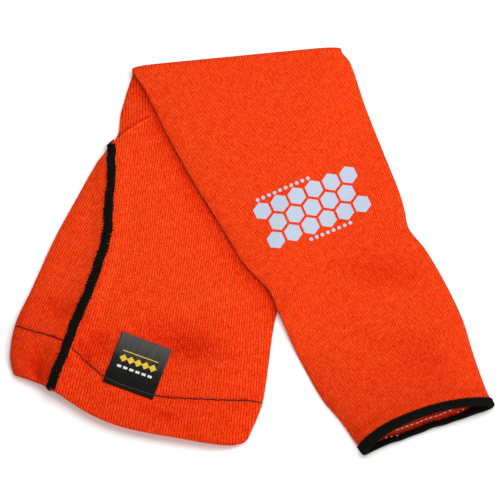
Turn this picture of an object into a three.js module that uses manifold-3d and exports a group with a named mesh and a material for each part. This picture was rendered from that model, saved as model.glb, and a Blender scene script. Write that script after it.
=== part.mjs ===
// Cut resistant arm sleeve: a knitted tube laid flat and folded across its middle, so that the
// forearm half lies on the upper arm half. A knitted gusset widens the upper arm, black overlocked
// seams join it, a black overlocked binding closes the wrist edge and a label is sewn into the hem.
import * as THREE from "three";
import { mergeVertices } from "three/addons/utils/BufferGeometryUtils.js";
import Module from "manifold-3d";

// Sizes in millimetres, angles in degrees.
const wall = 1.2; // thickness of the knitted fabric
const clearance = 0.3; // gap between pieces that touch

const foldWidth = 117; // width of the flat sleeve, measured along the fold
const foldTurn = 5.7; // slope of the fold line, up to the right
const foldAir = 1; // hollow left inside the sleeve at the fold
const foldRelax = 28; // length over which the sleeve recovers from the fold

const forearmLength = 233.5; // from the fold to the wrist edge
const forearmHeading = -63.3; // which way the forearm half points
const upperArmLength = 205; // from the fold to the hem
const upperArmHeading = -106.9; // which way the upper arm half points

const restAir = 2.4; // hollow inside the sleeve where it just lies
const wristAir = 11; // hollow at the wrist mouth, which gapes
const wristRelax = 70; // length over which the wrist mouth closes
const wristSetBack = 6; // how far the top layer stands back at the wrist mouth
const hemAir = 6.5; // hollow at the hem mouth
const hemRelax = 42; // length over which the hem mouth closes
const hemDepth = 26; // depth of the turned-up hem
const hemBow = 12.3; // how far the hem swings out in its middle
const hemBowRelax = 85; // length over which that swing starts

const drapeOut = 26; // how far past the lower half the upper half reaches the floor
const drapeIn = 12; // how far inside its edge the lower half carries it in full

const bindingDepth = 4.6; // width of the wrist binding on each face
const bindingThickness = 0.9; // thread build-up of the binding

const gussetReach = 33; // distance of the gusset seam from the flat edge, at its widest
const seamWidth = 5.2; // width of an overlocked seam
const seamThickness = 1.5; // how far an overlocked seam stands up
const seamShoulder = 7; // length over which the fabric steps over the lower seam

const labelWidth = 29.5;
const labelLength = 31;
const labelThickness = 0.5;
const labelTurn = -20.5; // slope of the label's short edges
const labelFromHem = 31.775; // from the hem's lower edge to the label's middle
const labelAcross = 0.503; // its middle, as a share of the sleeve's width from the left edge

const dentDepth = 1.5; // depth of the deepest dent in the upper faces

// Roundness of a flattened section: 2 is an ellipse, higher is flatter with tighter edges.
const lyingRound = 14;
const loftRound = 5;
const mouthRound = 2.3;
const sectionFill = 1.03; // above 1, the middle of a section is a true flat

// Mesh steps.
const faceSteps = 18; // round one face of the flat sleeve
const stationStep = 13; // longest step along the sleeve
const bendSteps = 8; // round the fold
const hemEdgeSteps = 4; // round the hem's lower edge

// One row for each section of the flat sleeve, from the fold outwards. "along" is a share of the
// half's length, "centre" and "width" are shares of foldWidth, and "turn" is the section's angle to
// the fold line.
const FOREARM = [
  { along: 0, centre: 0, width: 1, turn: 0 },
  { along: 0.04, centre: 0.014, width: 0.976, turn: 1.4 },
  { along: 0.164, centre: 0.003, width: 0.935, turn: 4.8 },
  { along: 0.287, centre: -0.005, width: 0.897, turn: 6.2 },
  { along: 0.394, centre: -0.007, width: 0.859, turn: 7.5 },
  { along: 0.478, centre: -0.009, width: 0.805, turn: 14.5 },
  { along: 0.538, centre: 0.003, width: 0.733, turn: 19 },
  { along: 0.598, centre: 0.011, width: 0.761, turn: 18.9 },
  { along: 0.68, centre: 0.011, width: 0.782, turn: 16.3 },
  { along: 0.767, centre: 0.007, width: 0.784, turn: 11.6 },
  { along: 0.849, centre: -0.002, width: 0.748, turn: 12.9 },
  { along: 0.921, centre: 0.001, width: 0.698, turn: 10.5 },
  { along: 1, centre: 0, width: 0.676, turn: 13.2 },
];
const UPPER_ARM = [
  { along: 0, centre: 0, width: 1, turn: 0 },
  { along: 0.117, centre: 0.005, width: 0.998, turn: -1 },
  { along: 0.186, centre: 0.017, width: 0.978, turn: -2.3 },
  { along: 0.228, centre: 0.002, width: 1.007, turn: -4.6 },
  { along: 0.296, centre: -0.008, width: 1.04, turn: -7.4 },
  { along: 0.405, centre: -0.016, width: 1.074, turn: -11.7 },
  { along: 0.566, centre: -0.03, width: 1.133, turn: -14.4 },
  { along: 0.712, centre: -0.042, width: 1.172, turn: -14.6 },
  { along: 0.871, centre: -0.029, width: 1.246, turn: -21.7 },
  { along: 0.935, centre: -0.016, width: 1.226, turn: -19.3 },
  { along: 1, centre: 0, width: 1.162, turn: -21.5 },
];
// The gusset seam: its distance from the sleeve's flat edge, as a share of gussetReach. Its first row
// is the gusset's point.
const GUSSET_SEAM = [
  { along: 0.228, inset: 0.09 },
  { along: 0.27, inset: 0.22 },
  { along: 0.313, inset: 0.346 },
  { along: 0.41, inset: 0.54 },
  { along: 0.516, inset: 0.78 },
  { along: 0.608, inset: 0.925 },
  { along: 0.7, inset: 0.965 },
  { along: 0.8, inset: 0.99 },
  { along: 0.9, inset: 0.955 },
  { along: 1, inset: 0.72 },
];

// Soft dents and swells of the upper faces. "along" is a share of the half's length and "across" of
// the half width, "long" and "wide" are radii in shares of foldWidth, "turn" is the angle of the long
// radius to the section, and "rise" is a share of dentDepth.
const FOREARM_DENTS = [
  { along: 0.6, across: 0.37, long: 0.3, wide: 0.14, turn: -35, rise: -0.8 },
  { along: 0.83, across: 0.35, long: 0.28, wide: 0.15, turn: -70, rise: -0.5 },
];
const UPPER_ARM_DENTS = [
  { along: 0.778, across: 0.3, long: 0.32, wide: 0.12, turn: -8, rise: -1 },
  { along: 0.843, across: 0.55, long: 0.26, wide: 0.13, turn: 5, rise: 0.5 },
  { along: 0.843, across: -0.36, long: 0.16, wide: 0.1, turn: 60, rise: -0.7 },
  { along: 0.765, across: -0.7, long: 0.2, wide: 0.11, turn: 0, rise: -0.6 },
  { along: 0.954, across: -0.76, long: 0.15, wide: 0.1, turn: 90, rise: -0.8 },
];

const radians = THREE.MathUtils.degToRad;
const mix = THREE.MathUtils.lerp;
const ease = (share) => THREE.MathUtils.smoothstep(share, 0, 1);
const towards = (degrees) =>
  new THREE.Vector2(Math.cos(radians(degrees)), Math.sin(radians(degrees)));

// Plan directions. The fold's axis runs through the origin, and both halves lie below it.
const foldAlong = towards(foldTurn);
const foldOut = towards(foldTurn + 90);

// Reads a table at a share along it, on a smooth curve through its rows.
function readTable(table, along) {
  const last = table.length - 1;
  let i = table.findIndex((row) => row.along >= along);
  i = THREE.MathUtils.clamp(i < 0 ? last : i, 1, last);
  const [a, b] = [table[i - 1], table[i]];
  const [before, after] = [table[Math.max(i - 2, 0)], table[Math.min(i + 1, last)]];
  const span = b.along - a.along;
  const t = THREE.MathUtils.clamp((along - a.along) / span, 0, 1);
  const read = {};
  for (const column of Object.keys(a)) {
    const slopeA = ((b[column] - before[column]) / (b.along - before.along)) * span;
    const slopeB = ((after[column] - a[column]) / (after.along - a.along)) * span;
    const [t2, t3] = [t * t, t * t * t];
    read[column] =
      (2 * t3 - 3 * t2 + 1) * a[column] +
      (t3 - 2 * t2 + t) * slopeA +
      (3 * t2 - 2 * t3) * b[column] +
      (t3 - t2) * slopeB;
  }
  return read;
}

// Half the thickness of the sleeve at its flat edges: plain, in the binding and in the hem.
const plainEdge = wall + foldAir / 2;
const bindingBuild = clearance + bindingThickness;
const wristEdge = plainEdge + bindingBuild;
const hemEdge = plainEdge + wall;

// The fold: the lower half's full thickness sets the height at which the upper half lies.
const stackHeight = 2 * plainEdge + restAir - foldAir + clearance;
const foldRadius = stackHeight / 2;
const foldHeight = foldRadius + plainEdge;

const forearm = {
  table: FOREARM,
  dents: FOREARM_DENTS,
  length: forearmLength,
  heading: towards(forearmHeading),
  lying: "back",
};
const upperArm = {
  table: UPPER_ARM,
  dents: UPPER_ARM_DENTS,
  length: upperArmLength,
  heading: towards(upperArmHeading),
  lying: "front",
};

// A section of one half, at a distance from the fold. Past the mouth it is the last section, moved on.
function sectionAt(half, distance) {
  const beyond = Math.max(distance - half.length, 0);
  const row = readTable(half.table, Math.min(distance / half.length, 1));
  const centre = half.heading
    .clone()
    .multiplyScalar(row.along * half.length + beyond)
    .addScaledVector(acrossOf(half), row.centre * foldWidth);
  const toMouth = half.length - distance;
  const atFold = ease(distance / foldRelax);
  const section = {
    half,
    distance,
    centre,
    across: towards(foldTurn + row.turn),
    halfWidth: (row.width * foldWidth) / 2,
    edge: plainEdge,
    loft: atFold * (restAir - foldAir),
    loftRound: mix((loftRound + lyingRound) / 2, loftRound, atFold),
    lyingRound: mix((loftRound + lyingRound) / 2, lyingRound, atFold),
    lift: 0,
    setBack: 0,
    bow: 0,
  };
  if (half === forearm) {
    const gape = ease(1 - toMouth / wristRelax);
    section.loft += gape * (wristAir - restAir);
    section.loftRound = mix(section.loftRound, mouthRound, gape);
    section.setBack = gape * gape * wristSetBack;
    const bound = ease(2 - toMouth / bindingDepth);
    section.edge = mix(plainEdge, wristEdge, bound);
    section.lift = bound * bindingBuild;
  } else {
    const gape = ease(1 - toMouth / hemRelax);
    section.loft += gape * (hemAir - restAir);
    section.loftRound = mix(section.loftRound, mouthRound, gape / 2);
    section.bow = ease(1 - toMouth / hemBowRelax) * hemBow;
    section.edge = mix(plainEdge, hemEdge, ease(2 - toMouth / hemDepth));
  }
  return section;
}

// Square to a half's heading, pointing to the right in plan.
function acrossOf(half) {
  const side = new THREE.Vector2(-half.heading.y, half.heading.x);
  return side.dot(foldAlong) < 0 ? side.negate() : side;
}

// A section in the fold itself, turned about the fold's axis from the upper half (0) to the lower (1).
function bendAt(share) {
  return {
    bend: Math.PI * share,
    halfWidth: foldWidth / 2,
    edge: plainEdge,
    loft: 0,
    loftRound: (loftRound + lyingRound) / 2,
    lyingRound: (loftRound + lyingRound) / 2,
  };
}

// How full a flattened section is at a place across it, from -1 at the left edge to 1 at the right.
function fullness(t, round) {
  const open = 1 - Math.pow(Math.min(Math.abs(t), 1), round);
  return Math.min(sectionFill * Math.sqrt(open), 1);
}

// How far the hem swings out across the sleeve, as a share of hemBow: it falls off slowly to the left
// and steeply at the right edge.
function bowShape(t) {
  const power = mix(1.7, 0.4, ease((t + 1) / 2));
  return Math.pow(Math.max(1 - t * t, 0), power);
}

// The lower half's right edge, which the upper half drapes over.
const lowerEdge = [0, 0.72].map((along) => {
  const section = sectionAt(upperArm, along * upperArmLength);
  return section.centre.clone().addScaledVector(section.across, section.halfWidth);
});

// Height of what the forearm half lies on: the lower half, and past its edge the floor.
function supportHeight(plan, distance) {
  const run = lowerEdge[1].clone().sub(lowerEdge[0]).normalize();
  const inside = plan.clone().sub(lowerEdge[0]).cross(run);
  const draped = ease((inside + drapeOut) / (drapeIn + drapeOut));
  return stackHeight * mix(1, draped, ease(distance / foldRelax));
}

// Distance from the flat left edge to the gusset seam. Above the gusset it stays what it is there.
const gussetTop = GUSSET_SEAM[0].along * upperArmLength;
function seamInset(distance) {
  const along = Math.min(Math.max(distance, gussetTop) / upperArmLength, 1);
  return readTable(GUSSET_SEAM, along).inset * gussetReach;
}

// How far the fabric is raised over the lower gusset seam, at a distance from the flat left edge. Away
// from that edge the upper face takes up only a part of it.
function seamStep(section, fromLeft, front) {
  const flat = seamWidth / 2 + clearance + seamThickness;
  const sideways = Math.abs(fromLeft - seamInset(section.distance)) - flat;
  const before = Math.max(gussetTop - section.distance, 0);
  const reach = Math.hypot(Math.max(sideways, 0), before);
  const taken = front ? 1 : 1 - 0.4 * ease(fromLeft / (2 * seamShoulder));
  return taken * (clearance + seamThickness) * ease(1 - reach / seamShoulder);
}

// How far dents and swells move the upper face, at a place across a section.
function dentRise(section, sideways) {
  let rise = 0;
  for (const dent of section.half.dents) {
    const x = sideways - dent.across * section.halfWidth;
    const y = dent.along * section.half.length - section.distance;
    const turned = new THREE.Vector2(x, y).rotateAround(new THREE.Vector2(), radians(-dent.turn));
    const reach = Math.hypot(turned.x / dent.long, turned.y / dent.wide) / foldWidth;
    rise += dent.rise * dentDepth * ease(1 - reach);
  }
  return rise;
}

// A point of the sleeve's skin. theta runs round the section: 0 is the right edge, pi the left one,
// and between them lies the front face. lift is the distance outside the outer surface.
function skin(section, theta, lift = 0) {
  const t = Math.cos(theta);
  const front = Math.sin(theta) >= 0;
  const sideways = t * (section.halfWidth + (lift < 0 ? 1.25 : 1) * lift);
  const lying = section.bend === undefined && front === (section.half.lying === "front");
  const rise = section.edge + (lying ? 0 : section.loft) + lift;
  const dented = lying || section.bend !== undefined ? 0 : dentRise(section, t * section.halfWidth);
  const height = (rise + dented) * fullness(t, lying ? section.lyingRound : section.loftRound);
  const n = front ? height : -height;
  if (section.bend !== undefined) {
    const plan = foldAlong
      .clone()
      .multiplyScalar(sideways)
      .addScaledVector(foldOut, Math.sin(section.bend) * (foldRadius + n));
    return new THREE.Vector3(
      plan.x,
      plan.y,
      foldHeight + Math.cos(section.bend) * (foldRadius + n),
    );
  }
  const swing = section.bow * bowShape(t) - (front ? section.setBack * (1 - t * t) : 0);
  const plan = section.centre
    .clone()
    .addScaledVector(section.across, sideways)
    .addScaledVector(section.half.heading, swing);
  if (section.half === forearm) {
    const rest = supportHeight(plan, section.distance) + section.lift;
    return new THREE.Vector3(plan.x, plan.y, rest + section.edge + n);
  }
  const step = seamStep(section, sideways + section.halfWidth, front);
  return new THREE.Vector3(plan.x, plan.y, section.edge - n + step);
}

// Where a face is sampled across, as distances from the flat left edge: evenly turned round the
// section and, on the upper arm half, drawn to the gusset seam. Samples seamFirst to seamLast lie
// across the seam.
const leftOfSeam = [0, 0.06, 0.16, 0.38, 0.78];
const acrossSeam = [0, 1 / 3, 2 / 3, 1];
const seamFirst = leftOfSeam.length;
const seamLast = seamFirst + acrossSeam.length - 1;
function samplesAcross(section) {
  const width = 2 * section.halfWidth;
  const even = Array.from(
    { length: faceSteps + 1 },
    (_, i) => (width * (1 - Math.cos((Math.PI * i) / faceSteps))) / 2,
  );
  if (section.half !== upperArm) return even;
  const left = seamInset(section.distance) - seamWidth / 2;
  const shoulder = left + seamWidth + seamShoulder;
  const rest = faceSteps - seamLast - 1;
  const drawn = [
    ...leftOfSeam.map((share) => share * left),
    ...acrossSeam.map((share) => left + share * seamWidth),
    ...Array.from(
      { length: rest + 1 },
      (_, i) => mix(shoulder, width, Math.sin((Math.PI / 2) * (i / rest))),
    ),
  ];
  const pull = ease(section.distance / gussetTop);
  return even.map((sample, i) => mix(sample, drawn[i], pull));
}

// The angle of a sample on the front face. The back face's is its negative.
function angleOf(section, fromLeft) {
  return Math.acos(THREE.MathUtils.clamp(fromLeft / section.halfWidth - 1, -1, 1));
}

// One closed loop round a section, at a distance outside the outer surface.
function loopOf(section, lift) {
  const angles = samplesAcross(section).map((sample) => angleOf(section, sample));
  const back = angles.slice(1, -1).toReversed();
  return [...angles, ...back.map((angle) => -angle)].map((angle) => skin(section, angle, lift));
}

// Distances along a half at which it is sampled: the rows of its table, steps between them, and at
// the wrist the places where the fabric narrows into the binding.
function distancesOf(half, end) {
  const distances = [];
  for (let i = 1; i < half.table.length; i++) {
    const [a, b] = [half.table[i - 1].along * half.length, half.table[i].along * half.length];
    const steps = Math.ceil((b - a) / stationStep);
    for (let k = 0; k < steps; k++) distances.push(mix(a, b, k / steps));
  }
  if (half === forearm) {
    const neck = [2, 1.5, 1].map((share) => forearmLength - share * bindingDepth);
    return [...distances.filter((distance) => distance < neck[0] - 1), ...neck, end];
  }
  return [...distances.filter((distance) => distance < end - 1), end];
}

// Joins closed rings of equal length into one closed surface, its faces outwards. Without caps, the
// last ring meets the first.
function surfaceOf(rings, capped) {
  const size = rings[0].length;
  const points = rings.flat();
  const faces = [];
  const strips = capped ? rings.length - 1 : rings.length;
  for (let i = 0; i < strips; i++) {
    const next = (i + 1) % rings.length;
    for (let j = 0; j < size; j++) {
      const k = (j + 1) % size;
      const [a, b] = [i * size + j, i * size + k];
      const [c, d] = [next * size + j, next * size + k];
      faces.push([a, b, d], [a, d, c]);
    }
  }
  if (capped) {
    const end = (rings.length - 1) * size;
    for (let j = 1; j < size - 1; j++) {
      faces.push([0, j + 1, j], [end, end + j, end + j + 1]);
    }
  }
  let volume = 0;
  for (const [a, b, c] of faces) {
    volume += points[a].dot(points[b].clone().cross(points[c]));
  }
  if (volume < 0) faces.forEach((face) => face.reverse());
  const positions = points.flatMap((point) => point.toArray());
  const geometry = new THREE.BufferGeometry();
  geometry.setAttribute("position", new THREE.Float32BufferAttribute(positions, 3));
  geometry.setIndex(faces.flat());
  return geometry;
}

const wasm = await Module();
wasm.setup();

function solidOf(geometry) {
  const bare = geometry.clone();
  bare.deleteAttribute("normal");
  bare.deleteAttribute("uv");
  const merged = mergeVertices(bare, 1e-4);
  return new wasm.Manifold(
    new wasm.Mesh({
      numProp: 3,
      vertProperties: merged.attributes.position.array,
      triVerts: new Uint32Array(merged.index.array),
    }),
  );
}

function geometryOf(solid) {
  const mesh = solid.getMesh();
  const geometry = new THREE.BufferGeometry();
  geometry.setAttribute("position", new THREE.BufferAttribute(mesh.vertProperties, mesh.numProp));
  geometry.setIndex(new THREE.BufferAttribute(mesh.triVerts, 1));
  return geometry;
}

// The knitted fabric, tube and gusset together: out along its outer surface from the wrist edge to
// the hem, round the hem's lower edge, and back inside, where the turned-up hem doubles the wall.
function fabricGeometry() {
  const upper = distancesOf(forearm, forearmLength).map((d) => sectionAt(forearm, d));
  const bend = Array.from({ length: bendSteps - 1 }, (_, i) => bendAt((i + 1) / bendSteps));
  const hemStart = upperArmLength - hemDepth;
  const hemEnd = upperArmLength - wall;
  const lower = distancesOf(upperArm, hemEnd).map((d) => sectionAt(upperArm, d));
  const plain = lower.filter((section) => section.distance < hemStart - 1);
  const doubled = lower.filter((section) => section.distance > hemStart + 1);
  const hemTop = sectionAt(upperArm, hemStart);
  const outer = [...upper.toReversed(), ...bend, ...plain, hemTop, ...doubled];
  const rings = outer.map((section) => loopOf(section, 0));
  for (let i = 1; i < hemEdgeSteps; i++) {
    const angle = Math.PI * (0.5 - i / hemEdgeSteps);
    const section = sectionAt(upperArm, hemEnd + wall * Math.cos(angle));
    rings.push(loopOf(section, wall * (Math.sin(angle) - 1)));
  }
  const plainInside = [hemTop, ...plain.toReversed(), ...bend.toReversed(), ...upper];
  for (const section of [...doubled.toReversed(), hemTop]) rings.push(loopOf(section, -2 * wall));
  for (const section of plainInside) rings.push(loopOf(section, -wall));
  return surfaceOf(rings, false);
}

// Sections along the gusset seam, where the fabric has its own.
function seamSections() {
  const distances = distancesOf(upperArm, upperArmLength - wall);
  return distances
    .filter((distance) => distance > gussetTop - clearance)
    .map((distance) => sectionAt(upperArm, distance));
}

// Everything to the left of the gusset seam, as a block that cuts right through the fabric. The seam
// line is moved right by shift.
function gussetBlock(shift) {
  const past = sectionAt(upperArm, upperArmLength + hemDepth);
  const line = [...seamSections(), past].map((section) => {
    const fromLeft = seamInset(section.distance) + shift;
    return section.centre
      .clone()
      .addScaledVector(section.across, fromLeft - section.halfWidth)
      .addScaledVector(section.half.heading, section.bow * bowShape(fromLeft / section.halfWidth - 1));
  });
  line[0].addScaledVector(upperArm.heading, -shift);
  const outside = [line.at(-1), line[0]].map((point) =>
    point.clone().addScaledVector(acrossOf(upperArm), -foldWidth),
  );
  const shape = new THREE.Shape([...line, ...outside]);
  const block = new THREE.ExtrudeGeometry(shape, { depth: 4 * foldHeight, bevelEnabled: false });
  return block.translate(0, 0, -foldHeight);
}

// An overlocked seam: a rounded band along the gusset seam on one face, over the fabric's samples.
function seamGeometry(face) {
  const side = face === "front" ? 1 : -1;
  const [low, middle, top] = [0, 0.5, 1].map((share) => clearance + share * seamThickness);
  const rings = seamSections().map((section) => {
    const samples = samplesAcross(section).slice(seamFirst, seamLast + 1);
    const at = (sample, lift) => skin(section, side * angleOf(section, sample), lift);
    const [left, right] = [samples[0], samples.at(-1)];
    const crown = [0.85, 0.5, 0.15].map((share) => at(mix(left, right, share), top));
    return [...samples.map((sample) => at(sample, low)), at(right, middle), ...crown, at(left, middle)];
  });
  return surfaceOf(rings, true);
}

// The wrist binding: a ring of thread round the wrist edge, grooved to hold it.
function bindingGeometry() {
  const outside = clearance + bindingThickness;
  const inside = -wall - clearance - bindingThickness;
  const nose = clearance + bindingThickness / 2;
  const profile = [
    { inwards: bindingDepth, lift: clearance },
    { inwards: -clearance, lift: clearance },
    { inwards: -clearance, lift: -wall - clearance },
    { inwards: bindingDepth, lift: -wall - clearance },
    { inwards: bindingDepth, lift: inside },
    { inwards: -nose, lift: inside },
    { inwards: -outside, lift: -wall / 2 },
    { inwards: -nose, lift: outside },
    { inwards: bindingDepth, lift: outside },
  ];
  const rings = profile.map(({ inwards, lift }) => {
    return loopOf(sectionAt(forearm, forearmLength - inwards), lift);
  });
  return surfaceOf(rings, false);
}

// The label: a thin square plate that follows the face it lies on.
function labelGeometry() {
  const section = sectionAt(upperArm, upperArmLength - labelFromHem);
  const home = skin(section, -angleOf(section, 2 * section.halfWidth * labelAcross));
  const along = towards(labelTurn);
  const down = towards(labelTurn - 90);
  const steps = 4;
  const rings = [];
  for (let i = 0; i <= steps; i++) {
    const at = (share, height) => {
      const plan = new THREE.Vector2(home.x, home.y)
        .addScaledVector(along, (share - 0.5) * labelWidth)
        .addScaledVector(down, (i / steps - 0.5) * labelLength);
      return new THREE.Vector3(plan.x, plan.y, topHeight(plan) + clearance + height);
    };
    const shares = Array.from({ length: steps + 1 }, (_, k) => k / steps);
    rings.push([
      ...shares.map((share) => at(share, 0)),
      ...shares.toReversed().map((share) => at(share, labelThickness)),
    ]);
  }
  return surfaceOf(rings, true);
}

const fabric = fabricGeometry();
const probe = new THREE.Mesh(fabric, new THREE.MeshBasicMaterial({ side: THREE.DoubleSide }));

// Height of the sleeve's upper surface over a place in plan.
function topHeight(plan) {
  const above = new THREE.Vector3(plan.x, plan.y, 4 * foldHeight);
  const hits = new THREE.Raycaster(above, new THREE.Vector3(0, 0, -1)).intersectObject(probe);
  return hits[0].point.z;
}

const knitOrange = new THREE.MeshStandardMaterial({ color: 0xf4451a, roughness: 0.95 });
const threadBlack = new THREE.MeshStandardMaterial({ color: 0x14140f, roughness: 0.9 });
const satinBlack = new THREE.MeshStandardMaterial({ color: 0x1c1b1a, roughness: 0.5 });

const sleeve = new THREE.Group();

function add(name, geometry, material) {
  const mesh = new THREE.Mesh(geometry, material);
  mesh.name = name;
  sleeve.add(mesh);
}

const whole = solidOf(fabric);
const left = solidOf(gussetBlock(-clearance / 2));
const leftAndGap = solidOf(gussetBlock(clearance / 2));
add("knit_sleeve", geometryOf(whole.subtract(leftAndGap)), knitOrange);
add("gusset", geometryOf(whole.intersect(left)), knitOrange);
add("gusset_seam_upper", seamGeometry("back"), threadBlack);
add("gusset_seam_lower", seamGeometry("front"), threadBlack);
add("wrist_binding", bindingGeometry(), threadBlack);
add("hem_label", labelGeometry(), satinBlack);

// The origin is the middle of the surface that the sleeve lies on.
const box = new THREE.Box3().setFromObject(sleeve);
const middle = box.getCenter(new THREE.Vector3());
for (const mesh of sleeve.children) mesh.position.set(-middle.x, -middle.y, -box.min.z);

export default sleeve;
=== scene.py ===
"""Dresses the cut resistant sleeve: knitted fabric, overlocked seams, bound wrist edge, stitched hem,
satin label and transfer print. Lengths are in millimetres until a mesh is made, angles in degrees."""
import math

import bmesh
import bpy
import numpy as np
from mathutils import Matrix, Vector
from mathutils.bvhtree import BVHTree


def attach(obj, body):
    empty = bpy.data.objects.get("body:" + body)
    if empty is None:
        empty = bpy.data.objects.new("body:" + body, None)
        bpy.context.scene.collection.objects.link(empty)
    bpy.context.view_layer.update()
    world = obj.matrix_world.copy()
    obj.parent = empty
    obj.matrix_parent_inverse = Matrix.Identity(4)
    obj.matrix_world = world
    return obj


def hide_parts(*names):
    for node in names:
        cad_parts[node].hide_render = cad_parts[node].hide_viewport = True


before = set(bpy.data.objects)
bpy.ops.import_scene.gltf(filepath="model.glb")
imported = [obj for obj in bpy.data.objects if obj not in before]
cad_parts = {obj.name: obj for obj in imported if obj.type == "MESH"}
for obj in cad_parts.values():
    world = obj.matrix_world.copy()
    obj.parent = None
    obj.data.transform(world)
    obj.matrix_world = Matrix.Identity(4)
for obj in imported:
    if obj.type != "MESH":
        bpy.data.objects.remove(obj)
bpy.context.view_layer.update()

# Sizes of the sleeve, close to the model's.
WALL = 1.2
CLEARANCE = 0.3
FOLD_WIDTH = 117.0
FOLD_TURN = 5.7
FOLD_AIR = 1.0
FOLD_RELAX = 28.0
FOREARM_LENGTH = 233.5
FOREARM_HEADING = -63.3
UPPER_ARM_LENGTH = 205.0
UPPER_ARM_HEADING = -106.9
REST_AIR = 2.4
WRIST_AIR = 11.0
WRIST_RELAX = 70.0
WRIST_SET_BACK = 5.4
WRIST_PULL = 1.2
HEM_SET_BACK = 1.6
HEM_AIR = 3.2
HEM_RELAX = 42.0
HEM_DEPTH = 26.0
HEM_BOW = 12.9
HEM_BOW_RELAX = 85.0
DRAPE_OUT = 26.0
DRAPE_IN = 12.0
BINDING_DEPTH = 4.6
BINDING_THICKNESS = 0.9
GUSSET_REACH = 33.0
SEAM_WIDTH = 5.2
SEAM_THICKNESS = 1.5
SEAM_SHOULDER = 7.0
LABEL_WIDTH = 29.5
LABEL_LENGTH = 31.0
LABEL_TURN = -20.5
LABEL_FROM_HEM = 31.775
LABEL_ACROSS = 0.503
DENT_DEPTH = 2.2
LYING_ROUND = 14.0
LOFT_ROUND = 5.0
MOUTH_ROUND = 2.3
SECTION_FILL = 1.03
FOLD_ROUND = (LYING_ROUND + LOFT_ROUND) / 2

# The middle of the fold in the frame.
FOLD_PLACE = np.array([-8.29, 106.655, 0.0])

PLAIN_EDGE = WALL + FOLD_AIR / 2
BINDING_BUILD = CLEARANCE + BINDING_THICKNESS
WRIST_EDGE = PLAIN_EDGE + BINDING_BUILD
HEM_EDGE = PLAIN_EDGE + WALL
STACK_HEIGHT = 2 * PLAIN_EDGE + REST_AIR - FOLD_AIR + CLEARANCE
FOLD_RADIUS = STACK_HEIGHT / 2
FOLD_HEIGHT = FOLD_RADIUS + PLAIN_EDGE

# Sections from the fold outwards: share of the length, centre and width as shares of FOLD_WIDTH,
# and turn from the fold line.
FOREARM_ROWS = np.array([
    [0, 0, 1, 0], [0.04, 0.0135, 0.991, 1.4], [0.164, -0.003, 0.947, 4.8],
    [0.287, -0.01, 0.907, 6.2], [0.394, -0.01, 0.863, 7.5], [0.478, -0.012, 0.807, 14.5],
    [0.538, -0.001, 0.737, 19], [0.598, 0.008, 0.765, 18.9], [0.68, 0.009, 0.786, 16.3],
    [0.767, 0.005, 0.788, 11.6], [0.849, -0.005, 0.75, 12.9], [0.921, -0.001, 0.7, 11],
    [1, 0.004, 0.658, 13.9],
])
UPPER_ARM_ROWS = np.array([
    [0, 0, 1, 0], [0.117, 0.004, 0.996, -1], [0.186, 0.016, 0.976, -2.3],
    [0.228, 0.009, 0.993, -4.6], [0.258, 0.0065, 1, -5.9], [0.296, -0.001, 1.026, -7.4],
    [0.405, -0.009, 1.06, -11.7], [0.566, -0.025, 1.121, -14.4], [0.712, -0.036, 1.16, -14.6],
    [0.871, -0.02, 1.228, -21.7], [0.935, -0.009, 1.212, -19.3], [1, 0.006, 1.15, -21.5],
])
# The gusset seam: share of the length, and distance from the flat edge as a share of GUSSET_REACH.
SEAM_ROWS = np.array([
    [0.228, 0.045], [0.25, 0.1], [0.273, 0.188], [0.3, 0.274], [0.341, 0.374], [0.406, 0.515],
    [0.461, 0.645], [0.522, 0.792], [0.58, 0.884], [0.64, 0.926], [0.7, 0.94], [0.8, 0.955],
    [0.9, 0.93], [1, 0.69],
])
# Dents and swells of the upper faces: share along, share across, long and wide radius as shares of
# FOLD_WIDTH, turn, and rise as a share of DENT_DEPTH.
FOREARM_DENTS = [
    [0.6, 0.37, 0.3, 0.14, -35, -0.8], [0.83, 0.35, 0.28, 0.15, -70, -0.5],
    [0.574, -0.87, 0.17, 0.07, 30, -0.35], [0.66, 0.25, 0.22, 0.06, -30, 0.18],
    [0.72, -0.19, 0.3, 0.09, -62, -0.2], [0.53, 0.1, 0.26, 0.06, -40, 0.2],
]
UPPER_ARM_DENTS = [
    [0.778, 0.3, 0.32, 0.12, -8, -0.8], [0.843, 0.55, 0.26, 0.13, 5, 0.5],
    [0.843, -0.36, 0.16, 0.1, 60, -0.5], [0.765, -0.7, 0.2, 0.11, 0, -0.6],
    [0.954, -0.76, 0.15, 0.1, 90, -0.6], [0.778, 0.36, 0.22, 0.06, -4, -0.35],
    [0.949, 0.25, 0.16, 0.038, -6, -0.6], [0.975, 0.5, 0.09, 0.036, -15, -0.35],
    [0.66, 0.45, 0.3, 0.07, 20, 0.2], [0.846, -0.47, 0.08, 0.034, -50, -0.6],
    [0.866, -0.4, 0.07, 0.03, -55, -0.4], [0.808, -0.37, 0.2, 0.055, -20, -0.5],
    [0.975, -0.785, 0.11, 0.04, 80, -0.6],
]

# Fine detail of the cloth: how far the inner wall is drawn in at the flat edges, the rows' spacing, the
# columns between the edges and their places at one, the gusset's columns, the turns of the hem's rim, and
# how softly the turned-up hem ends inside.
INNER_SQUEEZE = 1.25
ROW_STEP = 1.7
MID_COLUMNS = 58
EDGE_STEPS = 0.04 * np.arange(10) ** 2
GUSSET_COLUMNS = 29
RIM_ANGLES = np.pi * (0.5 - np.arange(1, 5) / 5)
HEM_STEP = 0.8

# The hem's stitching: its line as place across and distance from the hem, its groove and its thread.
STITCH_LINE = np.array([
    [-1, 26.9], [-0.86, 26.3], [-0.73, 27.9], [-0.59, 28.4], [-0.4, 25], [-0.23, 21.9], [-0.09, 20.7],
    [0.04, 20.3], [0.18, 19.5], [0.36, 20.4], [0.6, 22.7], [0.9, 25.4], [1, 23.4],
])
GROOVE_DEPTH = 0.45
GROOVE_WIDTH = 1.6
PUFF_RISE = 0.25
STITCH_LENGTH = 2.7
STITCH_RADIUS = 0.3
STITCH_STEPS = 1500

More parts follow.
